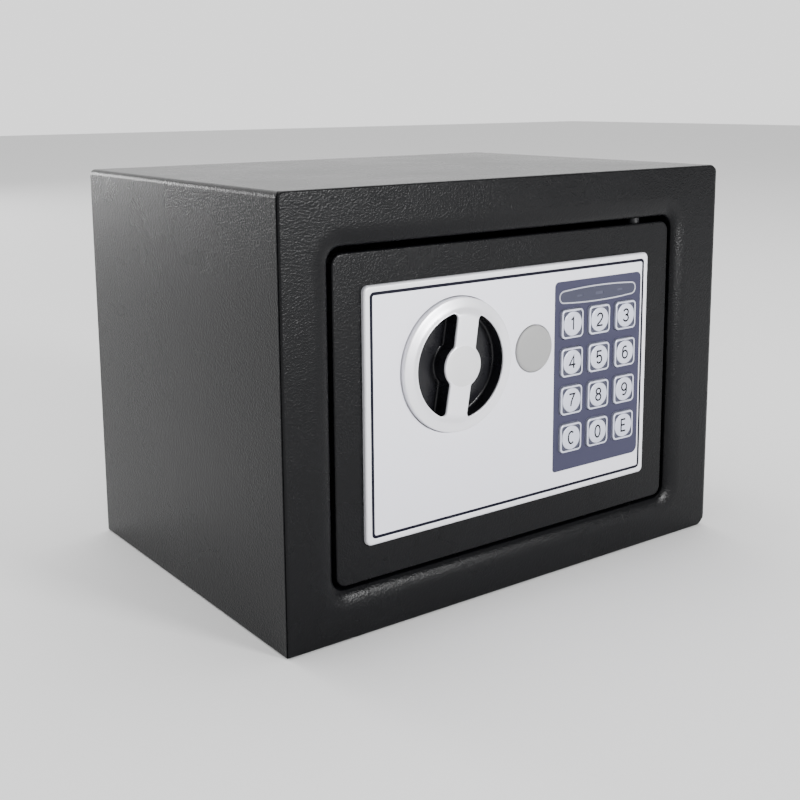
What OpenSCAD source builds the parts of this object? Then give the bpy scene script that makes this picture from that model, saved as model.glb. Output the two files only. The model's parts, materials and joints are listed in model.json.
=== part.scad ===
// Small steel strongbox with an electronic keypad lock: casing, hinged door, bolt work and keypad.
// Working coordinates inside every module: x from the casing's left side, d behind the front
// face of the casing, z from the underside. place() moves them to the shared frame.

/* [Casing] */
// Overall width of the casing (mm)
case_w = 230; // [200:1:320]
// Overall height of the casing (mm)
case_h = 170; // [160:1:260]
// Depth of the steel casing without the knob (mm)
case_d = 165; // [120:1:260]
// Sheet thickness of the casing (mm)
sheet = 1.5; // [1:0.1:2.5]
// Fold radius of the top left long edge (mm)
fold_tl = 2.5; // [1.6:0.1:6]
// Fold radius of the top right long edge (mm)
fold_tr = 3.5; // [1.6:0.1:6]
// Fold radius of the bottom right long edge (mm)
fold_br = 4.5; // [1.6:0.1:6]
// Corner radius of the welded bottom left long edge (mm)
fold_bl = 0.8; // [0.3:0.1:1.4]

/* [Front frame] */
// Left side of the casing to the door opening (mm)
open_l = 21.5; // [18:0.5:30]
// Right side of the casing to the door opening (mm)
open_r = 27.2; // [22:0.1:40]
// Underside of the casing to the door opening (mm)
open_b = 19; // [17:0.5:30]
// Top of the casing to the door opening (mm)
open_t = 21.2; // [18:0.1:30]
// Corner radius of the door opening (mm)
open_rc = 6; // [3:0.5:10]
// Outside radius of the rolled lip round the opening (mm)
lip_r = 3.2; // [2:0.1:5]
// Depth of the flange round the opening (mm)
flange_d = 18; // [12:0.5:18]

/* [Door] */
// Depth of the door face behind the casing face (mm)
door_in = 2.4; // [1:0.1:4]
// Thickness of the door plate (mm)
door_t = 3; // [2:0.1:4]
// Gap between door and flange at each side (mm)
gap_side = 2; // [1.6:0.1:3]
// Gap above the door (mm)
gap_top = 2.4; // [1.5:0.1:3]
// Gap below the door (mm)
gap_bot = 1.2; // [0.8:0.1:3]
// Corner radius of the door plate (mm)
door_rc = 4.5; // [2:0.5:8]
// Hinge axis to the right edge of the door (mm)
hinge_in = 16; // [12:0.5:18]
// Hinge axis behind the door face (mm)
hinge_back = 6.5; // [5:0.5:8]
// Hinge pin diameter (mm)
pin_d = 6; // [4:0.5:7]

/* [Lock fascia] */
// Left edge of the fascia from the casing's left side (mm)
fas_x = 36; // [34:0.5:40]
// Lower edge of the fascia from the underside (mm)
fas_z = 34.3; // [32:0.1:38]
// Width of the fascia (mm)
fas_w = 150.5; // [148:0.5:152]
// Height of the fascia (mm)
fas_h = 99.4; // [98:0.1:102]
// How far the fascia stands out from the door (mm)
fas_t = 1.9; // [1.5:0.1:3]
// Width of the raised border of the fascia (mm)
rim_w = 2.5; // [2:0.1:4]
// Width of the dark line inside the border (mm)
line_w = 1; // [0.6:0.1:1.5]

/* [Knob] */
// Diameter of the turning knob (mm)
knob_d = 53.3; // [50:0.1:54]
// Knob centre from the casing's left side (mm)
knob_x = 79.1; // [76:0.1:82]
// Knob centre above the underside (mm)
knob_z = 98.8; // [96:0.1:100]
// How far the knob hub stands in front of the casing face (mm)
knob_out = 4; // [3:0.5:8]
// Resting tilt of the grip bar, clockwise from upright (deg)
knob_tilt = 9; // [0:1:15]
// Width of the grip bar (mm)
bar_w = 10.3; // [8:0.1:12]
// Diameter of the hub in the middle of the grip bar (mm)
hub_d = 17.5; // [14:0.5:20]
// Diameter of the recessed part of the knob (mm)
well_d = 42.4; // [38:0.2:44]

/* [Keypad] */
// Side of one square key (mm)
key_s = 12.3; // [10:0.1:13]
// Key pitch across (mm)
key_px = 15.8; // [15:0.1:17]
// Key pitch up (mm)
key_pz = 16.37; // [15.5:0.01:17]
// Clearance between a key and its hole (mm)
key_gap = 0.3; // [0.2:0.05:0.5]
// Travel of a key (mm)
key_travel = 0.5; // [0.2:0.1:0.6]

/* [Bolt work] */
// Diameter of each locking bolt (mm)
bolt_d = 12; // [8:0.5:12]
// Height of the lower bolt (mm)
bolt_z1 = 56; // [54:0.5:58]
// Height of the upper bolt (mm)
bolt_z2 = 112; // [110:0.5:114]
// Throw radius of the crank pin (mm)
crank_r = 9; // [8:0.1:9]
// Running clearance of bearings, each side (mm)
run_fit = 0.05; // [0.02:0.01:0.1]

/* [Mounting] */
// Diameter of the anchor holes (mm)
anchor_d = 10; // [6:0.5:12]
// Spacing of the two rear anchor holes (mm)
anchor_back = 90; // [60:5:140]
// Spacing of the two base anchor holes (mm)
anchor_base = 100; // [60:5:140]

/* [Hidden] */
$fn = 64;
e = 0.01;
y_front = -(case_d + knob_out) / 2 + knob_out;
ox0 = open_l;
ox1 = case_w - open_r;
oz0 = open_b;
oz1 = case_h - open_t;
dx0 = ox0 + gap_side;
dx1 = ox1 - gap_side;
dz0 = oz0 + gap_bot;
dz1 = oz1 - gap_top;
d_face = door_in;
d_back = door_in + door_t;
hx = dx1 - hinge_in;
hd = d_face + hinge_back;
fx1 = fas_x + fas_w;
fz1 = fas_z + fas_h;
f_d = d_face - fas_t;
plate_t = 0.8;
floor_t = 1.7;
f_fl = f_d + plate_t;
f_bk = f_fl + floor_t;
pan_x0 = 32;
pan_x1 = 190;
pan_z0 = 28;
pan_z1 = 138.5;
pan_t = 1.5;
pan_d = 14.5;
cov_d = 46;
cov_t = 1.8;
kr = knob_d / 2;
lock_x = 119.5;
lock_z = 99.7;
pad_x0 = 131;
pad_x1 = 182.1;
pad_z0 = 44.4;
pad_z1 = 125.7;
key_cx = 156.45;
key_cz = 83.05;
win_z = 119;
car_d = 16.5;
car_t = 2;
bolt_dd = 25.5;
bolt_tip = 25.5;
tab_x = 52;
crank_a = 50;
sol_x = 86;
sol_d = 26;
sol_z0 = 36;
sol_z1 = 64;
cell_d = 14.2;
cell_l = 50.5;
cell_x = 135;
cell_dd = 36.3;
rst_x = 110;
rst_z = 60;

// ---- helpers ----
module place() { translate([-case_w / 2, y_front, 0]) children(); }
// 2D shape drawn in x and z, extruded from depth d0 to depth d1
module slab(d0, d1) { translate([0, d1, 0]) rotate([90, 0, 0]) linear_extrude(height = d1 - d0) children(); }
module rod_y(x, z, d0, d1, r) { translate([x, d1, z]) rotate([90, 0, 0]) cylinder(h = d1 - d0, r = r); }
module cone_y(x, z, d0, d1, r0, r1) { translate([x, d1, z]) rotate([90, 0, 0]) cylinder(h = d1 - d0, r1 = r1, r2 = r0); }
module rod_x(x0, x1, d, z, r) { translate([x0, d, z]) rotate([0, 90, 0]) cylinder(h = x1 - x0, r = r); }
module rod_z(x, d, z0, z1, r) { translate([x, d, z0]) cylinder(h = z1 - z0, r = r); }
module box(x0, d0, z0, x1, d1, z1) { translate([x0, d0, z0]) cube([x1 - x0, d1 - d0, z1 - z0]); }
module rrect4(x0, y0, x1, y1, bl, br, tr, tl) {
  polygon([[x0 + bl, y0], [x1 - br, y0], [x1, y0 + br], [x1, y1 - tr], [x1 - tr, y1],
    [x0 + tl, y1], [x0, y1 - tl], [x0, y0 + bl]]);
  translate([x0 + bl, y0 + bl]) circle(r = bl);
  translate([x1 - br, y0 + br]) circle(r = br);
  translate([x1 - tr, y1 - tr]) circle(r = tr);
  translate([x0 + tl, y1 - tl]) circle(r = tl);
}
module rrect(x0, y0, x1, y1, r) { rrect4(x0, y0, x1, y1, r, r, r, r); }
// sweeps a profile (u outwards, v in depth) round a rounded rectangle of corner radius rc
module sweep_round(x0, z0, x1, z1, rc) {
  translate([x0, 0, z1 - rc]) rotate([0, 180, 0]) linear_extrude(height = z1 - z0 - 2 * rc) children();
  translate([x1, 0, z0 + rc]) linear_extrude(height = z1 - z0 - 2 * rc) children();
  translate([x1 - rc, 0, z1]) rotate([0, -90, 0]) linear_extrude(height = x1 - x0 - 2 * rc) children();
  translate([x0 + rc, 0, z0]) rotate([0, 90, 0]) linear_extrude(height = x1 - x0 - 2 * rc) children();
  for (c = [[x1 - rc, z1 - rc, -90], [x0 + rc, z1 - rc, -180], [x0 + rc, z0 + rc, 90], [x1 - rc, z0 + rc, 0]])
    translate([c[0], 0, c[1]]) rotate([-90, 0, 0]) rotate([0, 0, c[2]])
      rotate_extrude(angle = 90) translate([rc, 0]) children();
}
// plate whose front edge is rounded all round with radius re
module soft_plate(x0, z0, x1, z1, rc, d0, d1, re) {
  slab(d0 + re, d1) rrect(x0, z0, x1, z1, rc);
  slab(d0, d0 + re) rrect(x0 + re, z0 + re, x1 - re, z1 - re, rc - re);
  sweep_round(x0 + re, z0 + re, x1 - re, z1 - re, rc - re)
    intersection() { translate([0, d0 + re]) circle(r = re); translate([0, d0]) square([re, re]); }
}
module strut(a, b, r) {
  v = b - a;
  l = norm(v);
  translate(a) rotate([0, acos(v[2] / l), atan2(v[1], v[0])]) cylinder(h = l, r = r, $fn = 24);
}
module straight_wire(a, b, r) {
  v = b - a;
  translate(a) rotate([0, acos(v[2] / norm(v)), atan2(v[1], v[0])]) cylinder(h = norm(v), r = r);
}

// ---- casing ----
module case_wrap() { color([0.09, 0.09, 0.1]) place() difference() {
  slab(sheet, case_d) difference() {
    rrect4(0, 0, case_w, case_h, fold_bl, fold_br, fold_tr, fold_tl);
    rrect4(sheet, sheet, case_w - sheet, case_h - sheet, 0.2, fold_br - sheet, fold_tr - sheet, fold_tl - sheet);
  }
  for (s = [-1, 1]) rod_z(case_w / 2 + s * anchor_base / 2, 95, -1, sheet + 1, anchor_d / 2);
} }
module back_panel() { color([0.09, 0.09, 0.1]) place() difference() {
  slab(case_d - sheet, case_d)
    rrect4(sheet, sheet, case_w - sheet, case_h - sheet, 0.2, fold_br - sheet, fold_tr - sheet, fold_tl - sheet);
  for (s = [-1, 1]) rod_y(case_w / 2 + s * anchor_back / 2, 85, case_d - sheet - 1, case_d + 1, anchor_d / 2);
} }
module front_frame() { color([0.08, 0.08, 0.1]) place() difference() {
  union() {
    slab(0, sheet) difference() {
      rrect4(0, 0, case_w, case_h, fold_bl, fold_br, fold_tr, fold_tl);
      rrect(ox0 - lip_r, oz0 - lip_r, ox1 + lip_r, oz1 + lip_r, open_rc + lip_r);
    }
    sweep_round(ox0, oz0, ox1, oz1, open_rc) union() {
      intersection() {
        difference() { translate([lip_r, lip_r]) circle(r = lip_r); translate([lip_r, lip_r]) circle(r = lip_r - sheet); }
        square([lip_r, lip_r]);
      }
      translate([0, lip_r]) square([sheet, flange_d - lip_r]);
    }
  }
  rod_z(hx, hd, oz1 - 2, oz1 + 4, 4.5);
  rod_z(hx, hd, oz0 - 4, oz0 + 2, 4.5);
} }
module hinge_bushes() { color([0.72, 0.6, 0.32]) place() for (s = [0, 1]) difference() {
  union() {
    if (s == 1) { rod_z(hx, hd, oz1, oz1 + sheet + 0.5, 4.5); rod_z(hx, hd, oz1 + sheet, oz1 + sheet + 3, 6.5); }
    else { rod_z(hx, hd, oz0 - sheet - 0.5, oz0, 4.5); rod_z(hx, hd, oz0 - sheet - 3, oz0 - sheet, 6.5); }
  }
  if (s == 1) rod_z(hx, hd, oz1 - 1, oz1 + 6, pin_d / 2 + run_fit);
  else rod_z(hx, hd, oz0 - 6, oz0 + 1, pin_d / 2 + run_fit);
} }
module door_stops() { color([0.1, 0.1, 0.11]) place() for (z = [31, 125]) {
  box(ox0, d_back + 0.5, z, ox0 + 6.5, d_back + 2, z + 11);
  box(ox0, d_back + 0.5, z, ox0 + 1.5, d_back + 11, z + 11);
} }
module floor_mat() { color([0.13, 0.13, 0.14]) place() difference() {
  translate([0, 0, sheet]) linear_extrude(height = 2) rrect(sheet + 2, 4, case_w - sheet - 4, case_d - sheet - 1, 2);
  for (s = [-1, 1]) rod_z(case_w / 2 + s * anchor_base / 2, 95, 0, 6, anchor_d / 2);
} }

// ---- door ----
module door_plate() { color([0.08, 0.08, 0.1]) place() difference() {
  soft_plate(dx0, dz0, dx1, dz1, door_rc, d_face, d_back, 0.6);
  slab(d_face - 1, d_back + 1) rrect(fas_x + 4.5, fas_z + 5.2, fx1 - 4.4, fz1 - 5.2, 1.5);
} }
module door_backplate() { color([0.3, 0.3, 0.32]) place() difference() {
  slab(d_back, pan_d) rrect(pan_x0, pan_z0, pan_x1, pan_z1, 3);
  slab(d_back - 1, pan_d - pan_t) rrect(pan_x0 + pan_t, pan_z0 + pan_t, pan_x1 - pan_t, pan_z1 - pan_t, 1.5);
  rod_y(knob_x, knob_z, 10, 16, 6);
  rod_y(lock_x, lock_z, 10, 16, 8);
  slab(10, 16) rrect(106, 47, 133, 64, 2);
  for (p = screw_pts()) rod_y(p[0], p[1], 10, 16, 1.7);
  for (p = cover_pts()) rod_y(p[0], p[1], 10, 16, 1.25);
  rod_y(87, 88.5, 10, 16, 1.6);
  rod_y(66, 116, 10, 16, 1.6);
} }
function screw_pts() = [[47, 43.6], [47, 124.4], [125, 43.6], [125, 124.4]];
function cover_pts() = [[38, 34], [38, 132.5], [184, 34], [184, 132.5]];
module hinge_lugs() { color([0.1, 0.1, 0.11]) place() for (z = [dz1 - 6.4, dz0 + 0.4]) difference() {
  union() { box(hx - 5, d_back, z, hx + 5, hd, z + 6); rod_z(hx, hd, z, z + 6, 5); }
  box(hx - 8, d_back - 6, z - 1, hx + 8, d_back, z + 8);
  rod_z(hx, hd, z - 1, z + 8, pin_d / 2);
} }
module hinge_pins() { color([0.6, 0.6, 0.62]) place() {
  rod_z(hx, hd, dz1 - 6.4, oz1 + 3.6, pin_d / 2);
  translate([hx, hd, oz1 + 3.6]) cylinder(h = 0.8, r1 = pin_d / 2, r2 = pin_d / 2 - 0.8);
  rod_z(hx, hd, oz0 - 3.6, dz0 + 6.4, pin_d / 2);
  translate([hx, hd, oz0 - 4.4]) cylinder(h = 0.8, r1 = pin_d / 2 - 0.8, r2 = pin_d / 2);
} }
// ---- fascia ----
module key_holes(g) { for (i = [-1:1], j = [-1.5:1.5])
  translate([key_cx + i * key_px, key_cz + j * key_pz]) rrect(-key_s / 2 - g, -key_s / 2 - g, key_s / 2 + g, key_s / 2 + g, 2 + g); }
module oval(g) { intersection() {
  rrect(133.6 - g, win_z - 3.6 - g, 179.1 + g, win_z + 3.6 + g, 2.6 + g);
  translate([156.35, win_z - 160 + 3.6 + g]) circle(r = 160, $fn = 200);
  translate([156.35, win_z + 160 - 3.6 - g]) circle(r = 160, $fn = 200);
} }
module fascia_bezel() { color([0.84, 0.84, 0.88]) place() difference() {
  union() {
    soft_plate(fas_x, fas_z, fx1, fz1, 2.4, f_d, d_face, 0.8);
    slab(d_face, 12.6) difference() {
      rrect(fas_x + 5, fas_z + 5.7, fx1 - 4.9, fz1 - 5.7, 1.2);
      rrect(fas_x + 6.5, fas_z + 7.2, fx1 - 6.4, fz1 - 7.2, 0.6);
    }
    slab(d_face, f_bk) rrect(fas_x + 5, fas_z + 5.7, fx1 - 4.9, fz1 - 5.7, 1.2);
    rod_y(knob_x, knob_z, f_bk - 0.5, 7.5, kr + 1.9);
    for (p = screw_pts()) rod_y(p[0], p[1], f_bk - 0.5, 12.6, 3.2);
  }
  slab(f_d - 1, f_fl) rrect(fas_x + rim_w, fas_z + rim_w, fx1 - rim_w, fz1 - rim_w, 1.9);
  rod_y(knob_x, knob_z, 0, 6, kr + 0.4);
  rod_y(knob_x, knob_z, 0, 9, 6);
  rod_y(lock_x, lock_z, 0, 2, 10);
  rod_y(lock_x, lock_z, 0, 9, 7.5);
  slab(0, 9) key_holes(key_gap);
  slab(0, 9) rrect(136, win_z - 2, 176.7, win_z + 2, 1);
  for (p = screw_pts()) rod_y(p[0], p[1], 5, 14, 1.25);
} }
module fascia_inlay() { color([0.07, 0.07, 0.13]) place() slab(f_d + 0.15, f_fl) difference() {
  rrect(fas_x + rim_w, fas_z + rim_w, fx1 - rim_w, fz1 - rim_w, 1.9);
  rrect(fas_x + rim_w + line_w, fas_z + rim_w + line_w, fx1 - rim_w - line_w, fz1 - rim_w - line_w, 0.9);
} }
module faceplate() { color([0.87, 0.87, 0.9]) place() slab(f_d, f_fl) difference() {
  rrect(fas_x + rim_w + line_w, fas_z + rim_w + line_w, fx1 - rim_w - line_w, fz1 - rim_w - line_w, 0.9);
  translate([knob_x, knob_z]) circle(r = kr + 0.4);
  translate([lock_x, lock_z]) circle(r = 10);
  rrect4(pad_x0, pad_z0, pad_x1, pad_z1, 1.6, 3, 2.5, 2.2);
} }
module keypad_plate() { color([0.36, 0.37, 0.47]) place() slab(f_d + 0.1, f_fl) difference() {
  rrect4(pad_x0, pad_z0, pad_x1, pad_z1, 1.6, 3, 2.5, 2.2);
  key_holes(key_gap);
  oval(0);
} }
module indicator_window() { color([0.42, 0.44, 0.55]) place() union() {
  slab(f_d + 0.1, f_fl) oval(0);
  slab(f_fl, f_bk) rrect(136, win_z - 2, 176.7, win_z + 2, 1);
} }
module status_leds() { color([0.8, 0.3, 0.25]) place() for (x = [145, 157, 169.5]) {
  rod_y(x, win_z, 4.6, 8, 1.5);
  rod_y(x, win_z, 8, 9.5, 1.9);
} }
module control_board() { color([0.1, 0.35, 0.2]) place() slab(9.5, 11.1) difference() {
  union() { square_at(131, 44, 179.6, 126); square_at(108, 48, 133, 84); }
  for (p = [[134, 47], [177, 47], [134, 124], [177, 124]]) translate([p[0], p[1]]) circle(r = 1.3);
} }
module square_at(x0, y0, x1, y1) { translate([x0, y0]) square([x1 - x0, y1 - y0]); }
module key_switches() { color([0.12, 0.12, 0.13]) place() for (i = [-1:1], j = [-1.5:1.5]) {
  x = key_cx + i * key_px;
  z = key_cz + j * key_pz;
  box(x - 3, 7, z - 3, x + 3, 9.5, z + 3);
  rod_y(x, z, 6, 7, 1.7);
} }
module buzzer() { color([0.08, 0.08, 0.08]) place() difference() {
  rod_y(119, 60, 4.2, 9.5, 6);
  rod_y(119, 60, 4, 5.2, 1.2);
} }
module m3_screws() { color([0.7, 0.7, 0.72]) place() {
  for (p = screw_pts()) difference() {
    union() { rod_y(p[0], p[1], 6, pan_d, 1.25); rod_y(p[0], p[1], pan_d, pan_d + 1.8, 2.75); }
    slab(pan_d + 0.9, pan_d + 3) { square_at(p[0] - 1.6, p[1] - 0.3, p[0] + 1.6, p[1] + 0.3); square_at(p[0] - 0.3, p[1] - 1.6, p[0] + 0.3, p[1] + 1.6); }
  }
  for (p = cover_pts()) difference() {
    union() { rod_y(p[0], p[1], 12, cov_d, 1.25); rod_y(p[0], p[1], cov_d, cov_d + 1.8, 2.75); }
    slab(cov_d + 0.9, cov_d + 3) { square_at(p[0] - 1.6, p[1] - 0.3, p[0] + 1.6, p[1] + 0.3); square_at(p[0] - 0.3, p[1] - 1.6, p[0] + 0.3, p[1] + 1.6); }
  }
} }
// ---- bolt work carried by the door ----
module bolt_guides() { color([0.55, 0.55, 0.58]) place() for (z = [bolt_z1, bolt_z2]) difference() {
  union() {
    box(36, pan_d, z - 9, 38, bolt_dd + 8, z + 9);
    box(36, pan_d, z - 9, 40, pan_d + 1.5, z + 9);
  }
  rod_x(34, 44, bolt_dd, z, bolt_d / 2 + run_fit);
} }
module guide_studs() { color([0.7, 0.7, 0.72]) place() for (p = [[87, 88.5], [66, 116]]) {
  rod_y(p[0], p[1], pan_d - pan_t, pan_d, 1.6);
  rod_y(p[0], p[1], pan_d, car_d + car_t + 0.6, 2.5);
  rod_y(p[0], p[1], car_d + car_t + 0.6, car_d + car_t + 2, 4.2);
} }
module bolt_plate() { color([0.62, 0.62, 0.65]) place() difference() {
  union() {
    box(tab_x, car_d, bolt_z1 - 9, tab_x + 14, car_d + car_t, bolt_z2 + 9);
    box(tab_x, car_d, 82, 105.5, car_d + car_t, bolt_z2 + 9);
    box(tab_x, car_d, bolt_z1 - 9, tab_x + 2, bolt_dd + 8, bolt_z1 + 9);
    box(tab_x, car_d, bolt_z2 - 9, tab_x + 2, bolt_dd + 8, bolt_z2 + 9);
    box(sol_x + 3.8, car_d, 76, sol_x + 5.8, 30, 83.6);
  }
  slab(car_d - 1, car_d + car_t + 1) {
    slot(knob_x, knob_z, 11.57, 4.6);
    slot(87, 88.5, 11.57, 2.8);
    slot(66, 116, 11.57, 2.8);
    crank_slot();
  }
  for (z = [bolt_z1, bolt_z2]) rod_x(tab_x - 1, tab_x + 3, bolt_dd, z, 3);
} }
module slot(x, z, l, r) { square_at(x, z - r, x + l, z + r); translate([x, z]) circle(r = r); translate([x + l, z]) circle(r = r); }
module crank_slot() {
  x = knob_x + crank_r * cos(crank_a);
  square_at(x - 2.8, knob_z + 2, x + 2.8, knob_z + crank_r + 0.4);
  translate([x, knob_z + crank_r + 0.4]) circle(r = 2.8);
}
module locking_bolts() { color([0.78, 0.78, 0.8]) place() for (z = [bolt_z1, bolt_z2]) {
  translate([bolt_tip, bolt_dd, z]) rotate([0, 90, 0]) cylinder(h = 1, r1 = bolt_d / 2 - 1, r2 = bolt_d / 2);
  rod_x(bolt_tip + 1, tab_x, bolt_dd, z, bolt_d / 2);
  rod_x(tab_x, tab_x + 2, bolt_dd, z, 3);
  rod_x(tab_x + 2, tab_x + 3.5, bolt_dd, z, 4.5);
} }
module solenoid_frame() { color([0.6, 0.6, 0.62]) place() difference() {
  box(sol_x - 11, pan_d, sol_z0, sol_x + 11, 37, sol_z1);
  box(sol_x - 9.5, pan_d + 1.5, sol_z0 + 1.5, sol_x + 9.5, 40, sol_z1 - 1.5);
  rod_z(sol_x, sol_d, sol_z1 - 3, sol_z1 + 1, 3 + run_fit);
} }
module solenoid_coil() { color([0.1, 0.1, 0.1]) place() difference() {
  union() {
    rod_z(sol_x, sol_d, sol_z0 + 1.5, sol_z0 + 3.5, 9);
    rod_z(sol_x, sol_d, sol_z0 + 3.5, sol_z1 - 3.5, 8.2);
    rod_z(sol_x, sol_d, sol_z1 - 3.5, sol_z1 - 1.5, 9);
  }
  rod_z(sol_x, sol_d, sol_z0 + 3.5, sol_z1, 3.35);
} }
module solenoid_plunger() { color([0.8, 0.8, 0.82]) place() {
  rod_z(sol_x, sol_d, sol_z0 + 6, 73.7, 3);
  translate([sol_x, sol_d, 73.7]) cylinder(h = 0.8, r1 = 3, r2 = 2.2);
  rod_z(sol_x, sol_d, 69, 70.5, 5.5);
} }
module plunger_spring() { color([0.7, 0.7, 0.72]) place() for (i = [0:3])
  translate([sol_x, sol_d, sol_z1 + 0.45 + i * 1.36]) rotate_extrude() translate([4.2, 0]) circle(r = 0.4, $fn = 24);
}
module spindle_bush() { color([0.72, 0.6, 0.32]) place() difference() {
  union() { rod_y(knob_x, knob_z, 11, 13, 8); rod_y(knob_x, knob_z, 13, pan_d + 0.8, 6); }
  rod_y(knob_x, knob_z, 10, 17, 4 + run_fit);
} }
module lock_housing() { color([0.7, 0.7, 0.68]) place() difference() {
  union() { rod_y(lock_x, lock_z, 5.6, 7.6, 9); rod_y(lock_x, lock_z, 7.6, 22, 8); }
  rod_y(lock_x, lock_z, 5, 23, 5 + run_fit);
} }
module lock_nut() { color([0.7, 0.7, 0.68]) place() difference() {
  translate([lock_x, pan_d + 3, lock_z]) rotate([90, 0, 0]) cylinder(h = 3, r = 11 / cos(30), $fn = 6);
  rod_y(lock_x, lock_z, 13, 19, 8);
} }
module lock_plug() { color([0.76, 0.66, 0.4]) place() difference() {
  union() { rod_y(lock_x, lock_z, 5.8, 22.6, 5); rod_y(lock_x, lock_z, 22.6, 26, 3); }
  slab(5, 17) square_at(lock_x - 0.7, lock_z - 3.6, lock_x + 0.7, lock_z + 3.6);
} }
module lock_cam() { color([0.7, 0.7, 0.72]) place() slab(22.9, 24.9) difference() {
  union() {
    translate([lock_x, lock_z]) circle(r = 6);
    square_at(lock_x - 15, lock_z - 4, lock_x, lock_z + 4);
    translate([lock_x - 15, lock_z]) circle(r = 4);
  }
  translate([lock_x, lock_z]) circle(r = 3);
} }
module key_cover() { color([0.72, 0.72, 0.71]) place() difference() {
  union() {
    rod_y(lock_x, lock_z, f_d - 0.05, 1.75, 9.7);
    rod_y(lock_x, lock_z, 1.7, 4.6, 7.2);
  }
  rod_y(lock_x, lock_z, 1.75, 6, 6);
} }
// ---- supply and inner cover ----
module battery_box() { color([0.1, 0.1, 0.11]) place() union() {
  difference() {
    box(cell_x - 8, 27.5, 53.5, cell_x + 53, cov_d - cov_t, 114.5);
    box(cell_x - 7.3, 29, 55, cell_x + 52.3, cov_d, 113);
  }
  for (i = [0:2]) box(cell_x + 7.25 + i * 15, 28.5, 54.5, cell_x + 7.75 + i * 15, 34, 113.5);
} }
module battery_contacts() { color([0.75, 0.72, 0.6]) place() for (i = [0:3]) {
  x = cell_x + i * 15;
  box(x - 5, 31, 55, x + 5, 41, 55.5);
  box(x - 5, 31, 112.5, x + 5, 41, 113);
  translate([x, cell_dd, i % 2 == 0 ? 55.5 : 109.35]) cylinder(h = 3.15, r1 = i % 2 == 0 ? 4.5 : 3, r2 = i % 2 == 0 ? 3 : 4.5);
} }
module batteries() { color([0.2, 0.2, 0.22]) place() for (i = [0:3]) {
  x = cell_x + i * 15;
  rod_z(x, cell_dd, 58.7, 109.3, cell_d / 2);
  if (i % 2 == 0) rod_z(x, cell_dd, 109.3, 111.5, 2.7);
  else rod_z(x, cell_dd, 56.5, 58.7, 2.7);
} }
module inner_cover() { color([0.13, 0.13, 0.14]) place() difference() {
  union() {
    difference() {
      slab(pan_d, cov_d) rrect(pan_x0, pan_z0, pan_x1, pan_z1, 3);
      slab(pan_d - 1, cov_d - cov_t) rrect(pan_x0 + cov_t, pan_z0 + cov_t, pan_x1 - cov_t, pan_z1 - cov_t, 1.2);
    }
    for (p = cover_pts()) rod_y(p[0], p[1], pan_d, cov_d - 1, 3);
  }
  for (p = cover_pts()) rod_y(p[0], p[1], 10, cov_d + 1, 1.25);
  for (z = [bolt_z1, bolt_z2]) rod_x(pan_x0 - 1, pan_x0 + 3, bolt_dd, z, bolt_d / 2 + 0.8);
  box(cell_x - 7.3, cov_d - 3, 55, cell_x + 52.3, cov_d + 1, 113);
  rod_y(rst_x, rst_z, 40, cov_d + 1, 3.9);
} }
module battery_cover() { color([0.13, 0.13, 0.14]) place() union() {
  slab(cov_d - cov_t, cov_d) rrect(cell_x - 7, 55.3, cell_x + 52, 112.7, 1);
  for (i = [0:4]) box(cell_x + 10, cov_d, 60 + i * 2.4, cell_x + 35, cov_d + 0.6, 61 + i * 2.4);
} }
module reset_switch() { color([0.15, 0.15, 0.16]) place() {
  box(rst_x - 5, 33, rst_z - 5, rst_x + 5, 39.5, rst_z + 5);
  box(rst_x - 6.5, 33, rst_z - 5, rst_x - 5, cov_d - cov_t, rst_z + 5);
  box(rst_x + 5, 33, rst_z - 5, rst_x + 6.5, cov_d - cov_t, rst_z + 5);
} }
module reset_button() { color([0.7, 0.12, 0.1]) place() {
  rod_y(rst_x, rst_z, 43.9, 47.3, 3.5);
  rod_y(rst_x, rst_z, 42.5, 43.9, 4.7);
} }
module wiring_loom() { color([0.6, 0.1, 0.1]) place() {
  straight_wire([114, 11.5, 51], [97.8, 24, 50], 0.6);
  straight_wire([114, 11.5, 54], [97.8, 24, 53], 0.6);
  rod_y(130, 58, 11.2, 27.4, 0.6);
  rod_y(130, 61, 11.2, 27.4, 0.6);
  rod_y(112, 58, 11.2, 32.9, 0.6);
  rod_y(112, 61, 11.2, 32.9, 0.6);
} }
// ---- knob ----
module knob_place() { place() translate([knob_x, 0, knob_z]) rotate([0, knob_tilt, 0]) children(); }
module bar2d() {
  circle(r = hub_d / 2);
  square([bar_w, well_d + 2], center = true);
  for (a = [0, 180]) rotate(a) polygon([[bar_w / 2 - 0.5, 5.5], [bar_w / 2 + 1.2, 6.6], [bar_w / 2, 9.4], [-bar_w / 2, 9.4], [-bar_w / 2 - 1.2, 6.6], [-bar_w / 2 + 0.5, 5.5]]);
}
module knob_body() { color([0.1, 0.1, 0.11]) knob_place() difference() {
  union() {
    rod_y(0, 0, -1, 1.2, kr - 0.65);
    rod_y(0, 0, 1.2, 5.4, kr);
    intersection() { slab(-3, -1) bar2d(); rod_y(0, 0, -4, 0, well_d / 2); }
  }
  slab(-1.5, 3.4) difference() { circle(r = well_d / 2); bar2d(); }
  rod_y(0, 0, 1, 6, 4);
} }
module knob_face() { color([0.85, 0.85, 0.87]) knob_place() union() {
  rotate([-90, 0, 0]) rotate_extrude()
    polygon([[well_d / 2, -2.5], [kr - 0.55, -1.6], [kr, -1.05], [kr, 1.2], [kr - 0.65, 1.2], [kr - 0.65, -1], [well_d / 2, -1]]);
  slab(-3.8, -3) intersection() { bar2d(); circle(r = well_d / 2 + 0.9); }
  slab(-3.8, -1.5) intersection() {
    square([bar_w, well_d + 2], center = true);
    difference() { circle(r = well_d / 2 + 0.9); circle(r = well_d / 2); }
  }
  cone_y(0, 0, -knob_out, -3.5, hub_d / 2 - 0.9, hub_d / 2 - 0.3);
} }
module knob_spindle() { color([0.75, 0.75, 0.77]) place() rod_y(knob_x, knob_z, 1, 24.5, 4); }
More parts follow.
